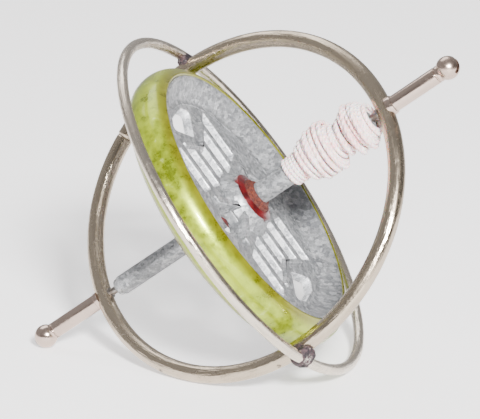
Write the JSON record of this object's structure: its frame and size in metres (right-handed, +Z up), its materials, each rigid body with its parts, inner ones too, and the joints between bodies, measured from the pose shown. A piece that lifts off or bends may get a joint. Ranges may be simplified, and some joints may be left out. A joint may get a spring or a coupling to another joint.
{
  "type": "toy gyroscope",
  "caption": "Toy gyroscope: a cast flywheel on a shaft with wound string, spinning on pivots inside two crossed wire rings with ball-ended studs.",
  "frame": {"origin": "on the surface that the gyroscope lies on, directly below the middle of its rings", "axes": "+Z up; +X is the axle's direction seen from above, towards the raised slotted ball; +Y completes a right-handed frame"},
  "size_m": [0.0744, 0.0674, 0.0549],
  "materials": {
    "ring_plate": "worn nickel plate over steel wire",
    "stud_plate": "polished nickel plate",
    "braze": "rough, dark burnt braze",
    "bearing_steel": "turned steel",
    "cast_zinc": "bare zinc die-casting with crystalline mottling",
    "rim_lacquer": "pearly yellow-green lacquer over the casting",
    "bush_lacquer": "glossy red lacquer",
    "fibre": "orange-brown fibre",
    "string": "pale pink cotton string"
  },
  "bodies": {
    "ring_frame": {"axle_ring": "ring_plate", "belt_ring": "ring_plate", "upper_braze": "braze", "lower_braze": "braze", "slotted_stud": "stud_plate", "plain_stud": "stud_plate", "slotted_stud_fillet": "braze", "plain_stud_fillet": "braze", "upper_bearing_cup": "bearing_steel", "lower_bearing_cup": "bearing_steel"},
    "flywheel": {"shaft": "cast_zinc", "upper_pivot": "bearing_steel", "lower_pivot": "bearing_steel", "hub_bush": "bush_lacquer", "front_washer": "fibre", "rear_washer": "fibre", "wheel_casting": "cast_zinc", "rim_ring": "rim_lacquer", "string_core": "string", "string_winding": "string"}
  },
  "joints": [
    {"name": "flywheel_spin", "type": "hinge", "parent": "ring_frame", "child": "flywheel", "pos_m": [0, 0, 0.02747], "axis": [0.8105, 0, 0.5857], "continuous": true}
  ]
}
